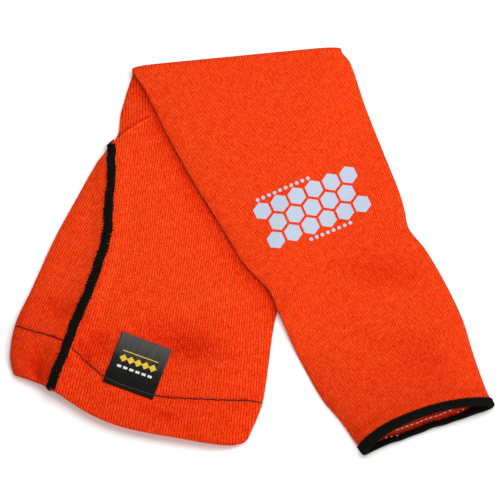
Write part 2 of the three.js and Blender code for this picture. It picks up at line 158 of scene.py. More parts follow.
# The crease below the fold's left end: its ends as place across and share along, its length and rise.
CREASE = np.array([[-0.98, 0.196], [-0.73, 0.113]])
CREASE_LENGTH = 28.0
CREASE_RISE = 1.2
# Its painted line in the colour: foot, direction, bend, half its length, and its painted highlight and its
# painted shade, each with its place aside, share and width.
CREASE_FOOT = np.array([-74.9, 63.2])
CREASE_TURN = 38
CREASE_BEND = 0.004
CREASE_HALF = 11.0
CREASE_PAINTED_LINES = [(0.0, 0.32, 0.45), (1.2, -0.3, 0.9)]

# Wales: pitches along each half, directions, where the counts start, and their turn beyond the crease.
FOREARM_PITCH = np.array([
    [0, 1.354], [0.15, 1.34], [0.42, 1.28], [0.54, 1.15], [0.62, 1.3], [0.75, 1.28], [0.9, 1.22], [1, 1.16],
])
FOREARM_CURVE = 10.5
UPPER_PITCH = np.array([[0, 1.4], [0.45, 1.38], [0.62, 1.36], [0.75, 1.45], [0.88, 1.56], [1, 1.62]])
UPPER_WALE = -97.9
UPPER_START = np.array([-30.0, 0.0])
GUSSET_WALE = -115.3
GUSSET_PITCH = 1.41
TRIANGLE_AT = np.array([-74.9, 62.4])
TRIANGLE_OUT = np.array([-0.6827, 0.7306])
TRIANGLE_TURN = 0.16
TRIANGLE_SOFT = 4
COURSE = 1.05
# Colours of the knit from its grooves to its crests, darker in the grooves as painted shade, and its
# mottling as (across, along, weight).
KNIT_TONES_AND_GROOVE_SHADE = [
    (0.05, (0.38, 0.006, 0.0008)), (0.35, (0.62, 0.018, 0.0018)), (0.6, (0.74, 0.043, 0.0048)),
    (0.95, (0.78, 0.1, 0.019)),
]
KNIT_MOTTLES = [(1.5, 0.9, 0.9), (1.0, 0.35, 0.8), (0.25, 0.2, 0.35)]
BRIGHTEST = 0.96

# Threads of the seams and of the binding.
LOOP_PITCH = 1.9
LOOPER_RADIUS = 0.42
BED_ROWS = 190
BED_COLUMNS = 9
BINDING_OUTER = 3.8
BINDING_INNER = 1.9
BINDING_END = 2.0
WRAP_PITCH = 1.2
WRAP_RADIUS = 0.3
RIM_STEPS = 721
TAIL_STEPS = 24
# About half the width of the wrist mouth.
MOUTH_HALF = 40

# The print: tiles of six sides in rows, with rows of dots over and under them.
PRINT_AT = np.array([33.4, 23.2])
PRINT_TURN = 24.6
TILE = 5.2
TILE_GAP = 1.5
DOT_RADIUS = 1.05
DOT_PITCH = 3.4


def ease(share):
    share = np.clip(share, 0, 1)
    return share * share * (3 - 2 * share)


def mix(a, b, t):
    return a + (b - a) * t


def towards(degrees):
    turn = np.radians(degrees)
    return np.stack([np.cos(turn), np.sin(turn)], -1)


def read_table(rows, along):
    """Rows of a table at shares along it, on a smooth curve through them."""
    along = np.asarray(along, float)
    last = len(rows) - 1
    i = np.clip(np.searchsorted(rows[:, 0], along, side="left"), 1, last)
    a, b = rows[i - 1], rows[i]
    before, after = rows[np.maximum(i - 2, 0)], rows[np.minimum(i + 1, last)]
    span = b[..., :1] - a[..., :1]
    t = np.clip((along[..., None] - a[..., :1]) / span, 0, 1)
    slope_a = (b - before) / (b[..., :1] - before[..., :1]) * span
    slope_b = (after - a) / (after[..., :1] - a[..., :1]) * span
    curve_a = (2 * t**3 - 3 * t**2 + 1) * a + (t**3 - 2 * t**2 + t) * slope_a
    return curve_a + (3 * t**2 - 2 * t**3) * b + (t**3 - t**2) * slope_b


UP = np.array([0, 0, 1.0])
FOLD_ALONG = towards(FOLD_TURN)
FOLD_OUT = towards(FOLD_TURN + 90)


class Half:
    """One half of the folded sleeve."""

    def __init__(self, rows, dents, length, heading, front_lies):
        self.rows, self.dents, self.length, self.front_lies = rows, dents, length, front_lies
        self.heading = towards(heading)
        side = np.array([-self.heading[1], self.heading[0]])
        self.across = side if side @ FOLD_ALONG > 0 else -side

    def section(self, distance):
        """The values of the sections at distances from the fold."""
        distance = np.asarray(distance, float)
        row = read_table(self.rows, np.minimum(distance / self.length, 1))
        along, centre, width, turn = np.moveaxis(row, -1, 0)
        beyond = np.maximum(distance - self.length, 0)
        to_mouth = self.length - distance
        at_fold = ease(distance / FOLD_RELAX)
        s = {
            "distance": distance,
            "centre": (along * self.length + beyond)[..., None] * self.heading
            + (centre * FOLD_WIDTH)[..., None] * self.across,
            "across": towards(FOLD_TURN + turn),
            "half_width": width * FOLD_WIDTH / 2,
            "loft": at_fold * (REST_AIR - FOLD_AIR),
            "round": mix(FOLD_ROUND, LOFT_ROUND, at_fold),
            "lying_round": mix(FOLD_ROUND, LYING_ROUND, at_fold),
            "lift": 0.0,
            "set_back": 0.0,
            "pull": 0.0,
            "bow": 0.0,
        }
        if self is FOREARM:
            gape = ease(1 - to_mouth / WRIST_RELAX)
            bound = ease(2 - to_mouth / BINDING_DEPTH)
            s["loft"] = s["loft"] + gape * (WRIST_AIR - REST_AIR)
            s["round"] = mix(s["round"], MOUTH_ROUND, gape)
            s["set_back"] = gape * gape * WRIST_SET_BACK
            s["pull"] = gape * gape * WRIST_PULL
            s["edge"] = mix(PLAIN_EDGE, WRIST_EDGE, bound)
            s["lift"] = bound * BINDING_BUILD
        else:
            gape = ease(1 - to_mouth / HEM_RELAX)
            s["loft"] = s["loft"] + gape * (HEM_AIR - REST_AIR)
            s["round"] = mix(s["round"], MOUTH_ROUND, gape / 2)
            s["bow"] = ease(1 - to_mouth / HEM_BOW_RELAX) * HEM_BOW
            s["set_back"] = gape * gape * HEM_SET_BACK
            s["edge"] = mix(PLAIN_EDGE, HEM_EDGE, ease(2 - to_mouth / HEM_DEPTH))
        return s

    def dent_rise(self, distance, sideways, half_width):
        rise = 0
        for along, across, long, wide, turn, share in self.dents:
            x = sideways - across * half_width
            y = along * self.length - distance
            a = math.radians(turn)
            u = x * math.cos(a) + y * math.sin(a)
            v = -x * math.sin(a) + y * math.cos(a)
            rise = rise + share * DENT_DEPTH * ease(1 - np.hypot(u / long, v / wide) / FOLD_WIDTH)
        return rise

    def skin(self, distance, t, front, lift=0.0, relief=None):
        """Points of the skin: t runs across from -1 at the left edge to 1, front says which face."""
        s = self.section(distance)
        t, front, lift = np.asarray(t, float), np.asarray(front), np.asarray(lift, float)
        sideways = t * (s["half_width"] + np.where(lift < 0, INNER_SQUEEZE, 1) * lift)
        lying = front == self.front_lies
        dented = self.dent_rise(s["distance"], t * s["half_width"], s["half_width"])
        groove = 0
        if relief is not None:
            carved = relief(s["distance"], t, s["half_width"])
            dented = dented + carved
            groove = np.minimum(carved, 0) * self.front_lies
        rise = s["edge"] + lift + np.where(lying, groove, s["loft"] + dented)
        height = rise * fullness(t, np.where(lying, s["lying_round"], s["round"]))
        n = np.where(front, height, -height)
        swing = s["bow"] * bow_shape(t) - np.where(front, s["set_back"] * (1 - t * t), 0)
        swing = swing - s["pull"] * wrist_swing(t, front)
        plan = s["centre"] + sideways[..., None] * s["across"] + swing[..., None] * self.heading
        if self is FOREARM:
            z = support_height(plan, s["distance"]) + s["lift"] + s["edge"] + n
        else:
            z = s["edge"] - n + seam_step(s, sideways + s["half_width"], front)
        return np.concatenate([plan, z[..., None]], -1) + FOLD_PLACE


def fullness(t, roundness):
    rest = 1 - np.minimum(np.abs(t), 1) ** roundness
    return np.minimum(SECTION_FILL * np.sqrt(np.maximum(rest, 0)), 1)


def bow_shape(t):
    return np.maximum(1 - t * t, 0) ** mix(2.4, 0.5, ease((t + 1) / 2))


def wrist_swing(t, front):
    """How far the wrist edge is drawn in, as a share of WRIST_PULL: the lower layer's edge is wavy."""
    ends = 0.25 * np.maximum(t, 0) ** 8 - 1.2 * np.clip(-t, 0, 1) ** 6
    waves = np.sin(8.5 * t + 1.2) + 0.7 * np.sin(19 * t) - 0.5
    return ends + np.where(front, 0, (1 - t * t) * (0.55 + 0.2 * waves))


def support_height(plan, distance):
    """Height of what the forearm half lies on: the other half, and past its edge the floor."""
    off = plan - LOWER_EDGE[0]
    inside = off[..., 0] * LOWER_RUN[1] - off[..., 1] * LOWER_RUN[0]
    draped = ease((inside + DRAPE_OUT) / (DRAPE_IN + DRAPE_OUT))
    return STACK_HEIGHT * mix(1, draped, ease(distance / FOLD_RELAX))


GUSSET_TOP = SEAM_ROWS[0, 0] * UPPER_ARM_LENGTH


def seam_inset(distance):
    along = np.minimum(np.maximum(distance, GUSSET_TOP) / UPPER_ARM_LENGTH, 1)
    return read_table(SEAM_ROWS, along)[..., 1] * GUSSET_REACH


def seam_step(s, from_left, front):
    """How far the fabric is raised over the lower gusset seam."""
    flat = SEAM_WIDTH / 2 + CLEARANCE + SEAM_THICKNESS
    sideways = np.abs(from_left - seam_inset(s["distance"])) - flat
    before = np.maximum(GUSSET_TOP - s["distance"], 0)
    reach = np.hypot(np.maximum(sideways, 0), before)
    taken = np.where(front, 1, 1 - 0.4 * ease(from_left / (2 * SEAM_SHOULDER)))
    return taken * (CLEARANCE + SEAM_THICKNESS) * ease(1 - reach / SEAM_SHOULDER)


FOREARM = Half(FOREARM_ROWS, FOREARM_DENTS, FOREARM_LENGTH, FOREARM_HEADING, False)
UPPER_ARM = Half(UPPER_ARM_ROWS, UPPER_ARM_DENTS, UPPER_ARM_LENGTH, UPPER_ARM_HEADING, True)


def lower_edge_at(along):
    s = UPPER_ARM.section(along * UPPER_ARM_LENGTH)
    return s["centre"] + s["half_width"] * s["across"]


LOWER_EDGE = [lower_edge_at(0.0), lower_edge_at(0.72)]
LOWER_RUN = (LOWER_EDGE[1] - LOWER_EDGE[0]) / np.linalg.norm(LOWER_EDGE[1] - LOWER_EDGE[0])


def bend_skin(share, t, front, lift=0.0):
    """Points in the fold itself, turned from the upper half (0) to the lower (1)."""
    t = np.asarray(t, float)
    lift = np.asarray(lift, float)
    sideways = t * (FOLD_WIDTH / 2 + np.where(lift < 0, INNER_SQUEEZE, 1) * lift)
    height = (PLAIN_EDGE + lift) * fullness(t, FOLD_ROUND)
    n = np.where(front, height, -height)
    turn = np.pi * np.asarray(share, float)
    plan = sideways[..., None] * FOLD_ALONG + (np.sin(turn) * (FOLD_RADIUS + n))[..., None] * FOLD_OUT
    z = FOLD_HEIGHT + np.cos(turn) * (FOLD_RADIUS + n)
    return np.concatenate([plan, z[..., None]], -1) + FOLD_PLACE


def stitch_distance(t):
    return UPPER_ARM_LENGTH - read_table(STITCH_LINE, t)[..., 1]


def upper_arm_relief(distance, t, half_width):
    """Rise of the cloth along the hem's stitching and at the crease."""
    off = distance - stitch_distance(np.clip(t, -1, 1))
    groove = -GROOVE_DEPTH * np.exp(-(off / GROOVE_WIDTH) ** 2)
    puff = PUFF_RISE * np.exp(-((off - 4) / 3.5) ** 2)
    a, b = (CREASE + [1, 0]) * [FOLD_WIDTH / 2, UPPER_ARM_LENGTH]
    run = (b - a) / np.linalg.norm(b - a)
    x, y = (t + 1) * half_width - a[0], distance - a[1]
    along = x * run[0] + y * run[1]
    aside = x * run[1] - y * run[0]
    reach = np.maximum(along - CREASE_LENGTH, 0)
    ridge = CREASE_RISE * np.exp(-(aside / 2) ** 2 - (reach / 6) ** 2) * ease((along + 2) / 5)
    return groove + puff + ridge


def wales_forearm(points, distance):
    """Count of wales across the forearm and distance along them, for the knit's pattern."""
    share = np.clip(distance / FOREARM_LENGTH, 0, 1)
    plan = points[..., :2] - FOLD_PLACE[:2]
    aside = plan @ FOREARM.across - FOREARM_CURVE * share * (1 - share)
    pitch = read_table(FOREARM_PITCH, share)[..., 1]
    return np.stack([aside / pitch, plan @ FOREARM.heading + 0 * aside], -1)


def wales_upper(points, distance):
    share = np.clip(distance / UPPER_ARM_LENGTH, 0, 1)
    run = towards(UPPER_WALE)
    aside_of = np.array([-run[1], run[0]])
    plan = points[..., :2] - UPPER_START
    pitch = read_table(UPPER_PITCH, share)[..., 1]
    over = (points[..., :2] - TRIANGLE_AT) @ TRIANGLE_OUT
    soft = TRIANGLE_SOFT * np.logaddexp(0, over / TRIANGLE_SOFT)
    return np.stack([plan @ aside_of / pitch + TRIANGLE_TURN * soft, plan @ run], -1)


def wales_gusset(points, distance):
    run = towards(GUSSET_WALE)
    aside_of = np.array([-run[1], run[0]])
    plan = points[..., :2]
    return np.stack([plan @ aside_of / GUSSET_PITCH + 0 * distance, plan @ run], -1)


# Meshes.
def add_object(name, data):
    obj = bpy.data.objects.new(name, data)
    bpy.context.scene.collection.objects.link(obj)
    return obj


def mesh_object(name, points, faces, uvs=None, smooth=True, merge=1e-6, second=None, painted_shade=None):
    mesh = bpy.data.meshes.new(name)
    mesh.from_pydata((np.asarray(points) / 1000).tolist(), [], [list(map(int, f)) for f in faces])
    # A painted shade for each vertex, which the knit's material reads.
    if painted_shade is not None:
        layer = mesh.attributes.new("painted_shade", "FLOAT", "POINT")
        layer.data.foreach_set("value", np.asarray(painted_shade, dtype=np.float32))
    if second is not None:
        mesh.polygons.foreach_set("material_index", np.asarray(second, dtype=np.int32))
    if uvs is not None:
        layer = mesh.uv_layers.new(name="knit")
        loops = np.empty(len(mesh.loops), dtype=np.int32)
        mesh.loops.foreach_get("vertex_index", loops)
        layer.data.foreach_set("uv", np.asarray(uvs, dtype=np.float32)[loops].ravel())
    if merge:
        shape = bmesh.new()
        shape.from_mesh(mesh)
        bmesh.ops.remove_doubles(shape, verts=shape.verts, dist=merge)
        bmesh.ops.recalc_face_normals(shape, faces=shape.faces)
        shape.to_mesh(mesh)
        shape.free()
    mesh.polygons.foreach_set("use_smooth", [smooth] * len(mesh.polygons))
    mesh.update()
    return add_object(name, mesh)


def grid_faces(rows, columns, start=0, closed_columns=False, closed_rows=False):
    i = np.arange(rows if closed_rows else rows - 1)[:, None]
    j = np.arange(columns if closed_columns else columns - 1)[None, :]
    k, m = (i + 1) % rows, (j + 1) % columns
    quads = np.stack([i * columns + j, i * columns + m, k * columns + m, k * columns + j], -1)
    return quads.reshape(-1, 4) + start


def across_samples(width, left, count):
    """Distances from the flat left edge across a face, close together at its edges."""
    width, left = np.asarray(width, float)[:, None], np.asarray(left, float)[:, None]
    start = left + EDGE_STEPS
    end = width - EDGE_STEPS[::-1]
    inner = np.linspace(0, 1, count + 2)[1:-1]
    return np.concatenate([start, mix(start[:, -1:], end[:, :1], inner), end], 1)


def half_rows(start, end, extra):
    """Distances of the rows from the fold, evenly spaced and with the extra ones between."""
    rows = np.linspace(start, end, int(round((end - start) / ROW_STEP)) + 1)
    return np.unique(np.concatenate([rows, np.asarray(extra, float)]))


# The left edge of the forearm half, beside which a shadow is painted on the cloth.
LEAN = np.linspace(0, FOREARM_LENGTH, 240)
LEAN_EDGE = FOREARM.skin(LEAN, np.full(len(LEAN), -1.0), np.zeros(len(LEAN), bool))[:, :2]


def painted_shade_of(half, distance, t, points):
    """Painted shade of the cloth: 0 in the open, 1 deep in a dent or close beside the forearm half's edge,
    more in the hem's stitch groove and towards the hem and the wrist; below 0 on swells, painted light.
    """
    width = half.section(distance)["half_width"]
    dents = -half.dent_rise(distance, t * width, width) / DENT_DEPTH
    if half is FOREARM:
        return 0.5 * np.clip(dents, -0.2, 1) + 0.12 * ease((distance - 170) / 50)
    flat = points[..., :2].reshape(-1, 2)
    near = np.min(np.linalg.norm(flat[:, None] - LEAN_EDGE[None, ::4], axis=2), axis=1).reshape(dents.shape)
    groove = 0.25 * np.exp(-((distance - stitch_distance(np.clip(t, -1, 1))) / 1.4) ** 2)
    shade = 0.8 * np.clip(dents, -0.1, 1) + 0.75 * np.exp(-(near / 5.5) ** 1.5) + groove
    return shade + 0.3 * ease((distance - 130) / 60)


def round_both(back, half_width):
    """Places across both faces from the columns of the back face, and which are on the front one."""
    from_left = np.concatenate([back, back[:, -2::-1]], 1)
    t = from_left / half_width[:, None] - 1
    return t, np.broadcast_to(np.arange(t.shape[1]) >= back.shape[1], t.shape)


def skin_ring(half, distance, back, lift, wales):
    """Rings round a half, over the back face and then the front one: points, and wales with painted shade.
    """
    t, front = round_both(back, half.section(distance)["half_width"])
    lift = np.broadcast_to(np.asarray(lift, float).reshape(-1, 1), t.shape)
    relief = upper_arm_relief if half is UPPER_ARM else None
    points = half.skin(distance[:, None], t, front, lift, relief)
    painted_shade_values = painted_shade_of(half, distance[:, None] + 0 * t, t, points)[..., None]
    return points, np.concatenate([wales(points, distance[:, None]), painted_shade_values], -1)


def closed_sheet(outer, rim, inner, first):
    """A sheet of two surfaces, with a rim at the hem and walls along the slot from the row first on."""
    loop, marks = [np.concatenate([outer[k], rim[k], inner[k][::-1]]) for k in (0, 1)]
    rows, columns = loop.shape[:2]
    i = np.arange(first, rows // 2 - 1)
    wall = np.stack([i, i + 1, rows - 2 - i, rows - 1 - i], -1) * columns
    faces = np.concatenate([grid_faces(rows, columns, closed_rows=True), wall, wall + columns - 1])
    return loop.reshape(-1, 3), marks.reshape(-1, 3), faces


HEM_END = UPPER_ARM_LENGTH - WALL
HEM_TOP = UPPER_ARM_LENGTH - HEM_DEPTH
RIM_DISTANCE = HEM_END + WALL * np.cos(RIM_ANGLES)
RIM_LIFT = WALL * (np.sin(RIM_ANGLES) - 1)


def hem_lift(distance):
    """Depth of the inner surface: twice the wall where the hem is turned up."""
    return -WALL * (1 + ease((distance - HEM_TOP + HEM_STEP) / (2 * HEM_STEP)))


def build_knit():
    neck = FOREARM_LENGTH - BINDING_DEPTH * np.array([2.0, 1.5, 1.0])
    fore = half_rows(0, FOREARM_LENGTH, neck)[::-1]
    bends = np.linspace(0, 1, 15)[1:-1]
    extra = [GUSSET_TOP - 0.2, GUSSET_TOP + 0.2, HEM_TOP - HEM_STEP, HEM_TOP + HEM_STEP]
    upper = half_rows(0, HEM_END, extra)

    def ring(half, distance, lift, left):
        back = across_samples(2 * half.section(distance)["half_width"], left, MID_COLUMNS)
        return skin_ring(half, distance, back, lift, wales_forearm if half is FOREARM else wales_upper)

    def bend_ring(lift):
        width = np.full(len(bends), FOLD_WIDTH)
        back = across_samples(width, 0 * width, MID_COLUMNS)
        t, front = round_both(back, width / 2)
        points = bend_skin(bends[:, None], t, front, np.full(t.shape, lift))
        flat = (t * FOLD_WIDTH / 2)[..., None] * FOLD_ALONG
        at = np.concatenate([flat + FOLD_PLACE[:2], 0 * t[..., None]], -1)
        uv = wales_forearm(at, np.zeros((len(bends), 1)))
        uv[..., 1] -= np.pi * (FOLD_RADIUS + PLAIN_EDGE) * bends[:, None]
        return points, np.concatenate([uv, 0 * uv[..., :1]], -1)

    def sheet(lift_fore, lift_upper):
        left = np.where(upper > GUSSET_TOP, seam_inset(upper) + CLEARANCE / 2, 0.0)
        parts = [ring(FOREARM, fore, lift_fore, 0 * fore), bend_ring(lift_fore)]
        parts.append(ring(UPPER_ARM, upper, lift_upper, left))
        return [np.concatenate([p[k] for p in parts]) for k in (0, 1)]

    outer, inner = sheet(0.0, 0.0), sheet(-WALL, hem_lift(upper))
    rim = ring(UPPER_ARM, RIM_DISTANCE, RIM_LIFT, seam_inset(RIM_DISTANCE) + CLEARANCE / 2)
    first = len(fore) + len(bends) + int(np.searchsorted(upper, GUSSET_TOP))
    points, marks, faces = closed_sheet(outer, rim, inner, first - 1)
    inside = (len(outer[0]) + len(rim[0])) * outer[0].shape[1]
    # Painted shade on the outer surface and the hem's rim, none on the inner surface.
    painted_shade_values = np.where(np.arange(len(points)) < inside, marks[:, 2], 0)
    # Faces of the inner surface, which take the brighter copy of the knit: painted light.
    lit_inside = faces.min(1) >= inside
    return mesh_object("knit_fabric", points, faces, marks[:, :2], second=lit_inside, painted_shade=painted_shade_values)


def build_gusset():
    upper = half_rows(GUSSET_TOP, HEM_END, [HEM_TOP - HEM_STEP, HEM_TOP + HEM_STEP])
    shares = (np.arange(GUSSET_COLUMNS) / (GUSSET_COLUMNS - 1)) ** 1.7

    def ring(distance, lift):
        back = (seam_inset(distance) - CLEARANCE / 2)[:, None] * shares[::-1]
        return skin_ring(UPPER_ARM, distance, back, lift, wales_gusset)

    outer, inner = ring(upper, 0.0), ring(upper, hem_lift(upper))
    points, marks, faces = closed_sheet(outer, ring(RIM_DISTANCE, RIM_LIFT), inner, 0)
    return mesh_object("gusset_fabric", points, faces, marks[:, :2], painted_shade=marks[:, 2])


def strands(paths, radius, sides=6):
    """Closed tubes along paths: each is (points, side), with side the tube's sideways direction."""
    all_points, all_faces, start = [], [], 0
    ring = np.arange(sides) * 2 * np.pi / sides
    for path, side in paths:
        n = len(path)
        run = np.gradient(path, axis=0)
        run /= np.linalg.norm(run, axis=1, keepdims=True)
        up = np.cross(run, side)
        up /= np.linalg.norm(up, axis=1, keepdims=True)
        out = np.cross(up, run)
        r = np.broadcast_to(radius, (n,))[:, None, None]
        points = path[:, None] + r * (
            np.cos(ring)[None, :, None] * out[:, None] + np.sin(ring)[None, :, None] * up[:, None]
        )
        caps = 0.5 * np.broadcast_to(radius, (n,))[[0, -1], None] * run[[0, -1]]
        all_points += [points.reshape(-1, 3), path[:1] - caps[:1], path[-1:] + caps[1:]]
        quads = grid_faces(n, sides, start, closed_columns=True)
        j = np.arange(sides)
        k = (j + 1) % sides
        head, tail = start + n * sides, start + n * sides + 1
        end = start + (n - 1) * sides
        all_faces += quads.tolist()
        all_faces += np.stack([k + start, j + start, 0 * j + head], -1).tolist()
        all_faces += np.stack([j + end, k + end, 0 * j + tail], -1).tolist()
        start += n * sides + 2
    return np.concatenate(all_points), all_faces


def strand_object(name, paths, radius, bed=np.zeros((0, 3)), bed_faces=()):
    """An object of strands, after the points and faces of the bed that they lie on."""
    points, tubes = strands(paths, radius)
    faces = list(bed_faces) + [[v + len(bed) for v in face] for face in tubes]
    return mesh_object(name, np.concatenate([bed, points]), faces, merge=None)


def jitter(index, seed):
    """A repeatable number from -1 to 1 for each index."""
    wave = np.sin(np.asarray(index, float) * 12.9898 + seed * 78.233) * 43758.5453
    return 2 * (wave - np.floor(wave)) - 1


def seam_point(distance, offset, front, lift):
    """A point on a gusset seam, offset to the right of its line."""
    narrow = 0.83 + 0.17 * ease((distance / UPPER_ARM_LENGTH - 0.36) / 0.16)
    offset = narrow * offset + 0.22 * np.sin(distance / 5.3) + 0.16 * np.sin(distance / 2.1 + 2)
    width = UPPER_ARM.section(distance)["half_width"]
    t = (seam_inset(distance) + offset) / width - 1
    return UPPER_ARM.skin(distance, t, np.broadcast_to(front, np.shape(distance)), lift, upper_arm_relief)


def build_seam(name, front):
    start, end = GUSSET_TOP, UPPER_ARM_LENGTH - 0.4
    # The dense bed of thread.
    along = np.linspace(start + 0.3, end - 0.5, BED_ROWS)[:, None]
    profile = np.linspace(-1, 1, BED_COLUMNS)
    bed = SEAM_THICKNESS * (0.2 + 0.45 * np.sqrt(1 - profile**2))
    top = seam_point(along, profile * (SEAM_WIDTH / 2 - 0.35), front, CLEARANCE + bed)
    foot = np.full(BED_COLUMNS, CLEARANCE / 2)
    low = seam_point(along, profile[::-1] * (SEAM_WIDTH / 2 - 0.5), front, foot)
    loop = np.concatenate([top, low], 1)
    rows, columns = loop.shape[:2]
    faces = grid_faces(rows, columns, closed_columns=True).tolist()
    faces += [list(range(columns))[::-1], [(rows - 1) * columns + c for c in range(columns)]]
    base = loop.reshape(-1, 3)
    # Looper threads, which cross the seam from edge to edge, and the needle threads along it.
    count = int((end - start) / LOOP_PITCH)
    phase = np.linspace(0, 2 * np.pi * count, count * 22)
    step = np.floor(phase / np.pi + 0.5)
    reach = SEAM_WIDTH / 2 - 0.2 + 0.4 * jitter(step, 1 + front)
    x = np.sin(phase)
    x = np.sign(x) * np.abs(x) ** 0.9
    distance = start + 0.5 + phase / (2 * np.pi) * LOOP_PITCH + 0.25 * np.sin(2 * phase)
    lift = CLEARANCE + 0.42 + 0.7 * np.sqrt(np.maximum(1 - x * x, 0)) + 0.1 * np.cos(phase)
    paths = [(seam_point(np.minimum(distance, end), x * reach, front, lift), UP)]
    for line, seed in ((-0.55, 3), (0.5, 7)):
        steps = np.arange(int((end - start) / LOOP_PITCH * 8))
        d = start + 0.6 + steps * LOOP_PITCH / 8
        d = d[d < end - 0.6]
        wobble = line * SEAM_WIDTH / 2 + 0.3 * np.sin(2 * np.pi * d / LOOP_PITCH + seed)
        rise = CLEARANCE + 0.95 + 0.25 * np.cos(2 * np.pi * d / LOOP_PITCH)
        paths.append((seam_point(d, wobble, front, rise), UP))
    return strand_object(name, paths, LOOPER_RADIUS, base, faces)


RIM_TURNS = np.linspace(0, 2 * np.pi, RIM_STEPS)
RIM_RING = FOREARM.skin(np.full(RIM_STEPS, FOREARM_LENGTH), np.cos(RIM_TURNS), np.sin(RIM_TURNS) >= 0)
RIM_AT = np.concatenate([[0], np.cumsum(np.linalg.norm(np.diff(RIM_RING, axis=0), axis=1))])


def rim_turn(q):
    """The turn round the wrist edge at a share q of the way round it."""
    return np.interp(np.mod(q, 1) * RIM_AT[-1], RIM_AT, RIM_TURNS)


def rim_points(q, inwards, lift):
    """Points round the wrist edge: q is the share of the way round, inwards from the edge."""
    turn = rim_turn(q)
    return FOREARM.skin(FOREARM_LENGTH - inwards, np.cos(turn), np.sin(turn) >= 0, lift), RIM_AT[-1]


def binding_profile(c, thickness, outer, inner):
    """Inwards and lift for c from -1, on the outer face, round the edge to 1, on the inner face."""
    radius = WALL / 2 + CLEARANCE + thickness
    s = (c + 1) / 2 * (outer + inner + math.pi * radius)
    beyond = s - outer - math.pi * radius
    turn = np.clip((s - outer) / radius, 0, math.pi)
    inwards = np.where(s < outer, outer - s, np.maximum(beyond, 0))
    return inwards - radius * np.sin(turn) * 0.9, -WALL / 2 + radius * np.cos(turn)


def binding_inner(q):
    """Depth of the binding on the inner face, deeper near the ends of the mouth."""
    t = np.cos(rim_turn(q))
    deeper = ease((t - 0.55) / 0.35) + 0.4 * ease((-t - 0.7) / 0.25)
    return BINDING_INNER + BINDING_END * deeper


def build_binding():
    q = np.linspace(0, 1, 240, endpoint=False)[:, None]
    c = np.linspace(-1, 1, 15)[None, :]
    deep = binding_inner(q)
    inwards, lift = binding_profile(c, 0.35, BINDING_OUTER - 0.15, deep - 0.15)
    top, perimeter = rim_points(q, inwards, lift)
    inner_in, inner_lift = binding_profile(c[:, ::-1], -CLEARANCE + 0.05, BINDING_OUTER - 0.7, deep - 0.7)
    low, _ = rim_points(q, inner_in, inner_lift)
    loop = np.concatenate([top, low], 1)
    rows, columns = loop.shape[:2]
    faces = grid_faces(rows, columns, closed_columns=True, closed_rows=True).tolist()
    base = loop.reshape(-1, 3)
    count = int(perimeter / WRAP_PITCH)
    phase = np.linspace(0, 2 * np.pi * count, count * 26 + 1)
    turn = np.floor(phase / np.pi + 0.5)
    x = np.sin(phase)
    x = np.sign(x) * np.abs(x) ** 0.8
    inwards, lift = binding_profile(x, 0.5, BINDING_OUTER, binding_inner(phase / (2 * np.pi * count)))
    reach = 1 + np.where(x < 0, 0.05, 0.35) * jitter(turn, 5)
    inwards = np.where(inwards > 0, inwards * reach, inwards)
    q = phase / (2 * np.pi * count) + 0.2 / perimeter * np.sin(2 * phase)
    path, _ = rim_points(q, inwards, lift + 0.07 * jitter(turn, 9))
    side = np.gradient(rim_points(phase / (2 * np.pi * count), 0 * phase, 0 * phase)[0], axis=0)
    return strand_object("binding_thread", [(path, side)], WRAP_RADIUS, base, faces)


knit = build_knit()
gusset = build_gusset()
seam_upper = build_seam("overlock_upper", False)
seam_lower = build_seam("overlock_lower", True)
binding = build_binding()


def tree_of(*objects):
    points, faces = [], []
    for obj in objects:
        start = len(points)
        points += [v.co.copy() for v in obj.data.vertices]
        faces += [[i + start for i in p.vertices] for p in obj.data.polygons]
    return BVHTree.FromPolygons(points, faces)


def height_over(tree, x, y):
    """Height of the upper surface over a place in plan, in millimetres, or 0 beside it."""
    hit = tree.ray_cast(Vector((x / 1000, y / 1000, 0.1)), Vector((0, 0, -1)))[0]
    return hit.z * 1000 if hit else 0.0


cloth_tree = tree_of(knit, gusset)


def plate(name, outline_grid, thickness, clearance):
    """A thin plate over a grid of plan places, which follows the cloth under it."""
    rows, columns = outline_grid.shape[:2]
    heights = np.array([[height_over(cloth_tree, *p) for p in row] for row in outline_grid])
    low = np.concatenate([outline_grid, heights[..., None] + clearance], -1)
    high = low + np.array([0, 0, thickness])
    loop = np.concatenate([low, high[:, ::-1]], 1)
    faces = grid_faces(rows, 2 * columns, closed_columns=True).tolist()
    for i in (0, rows - 1):
        for j in range(columns - 1):
            a = i * 2 * columns
            faces.append([a + j, a + j + 1, a + 2 * columns - 2 - j, a + 2 * columns - 1 - j])
    u, v = np.meshgrid(np.linspace(0, 1, columns), np.linspace(0, 1, rows))
    uv = np.stack([u, v], -1)
    uv = np.concatenate([uv, uv[:, ::-1]], 1).reshape(-1, 2)
    return mesh_object(name, loop.reshape(-1, 3), faces, uv)


LABEL_AT = UPPER_ARM.skin(UPPER_ARM_LENGTH - LABEL_FROM_HEM, 2 * LABEL_ACROSS - 1, False)[:2]
LABEL_RIGHT = towards(LABEL_TURN)
LABEL_DOWN = towards(LABEL_TURN - 90)


def label_place(right, down):
    return LABEL_AT + np.asarray(right)[..., None] * LABEL_RIGHT + np.asarray(down)[..., None] * LABEL_DOWN


def build_label():
    share = np.linspace(-0.5, 0.5, 41)
    right, down = np.meshgrid(share * LABEL_WIDTH, share * LABEL_LENGTH)
    return plate("satin_label", label_place(right, down), thickness=0.4, clearance=0.35)


label = build_label()


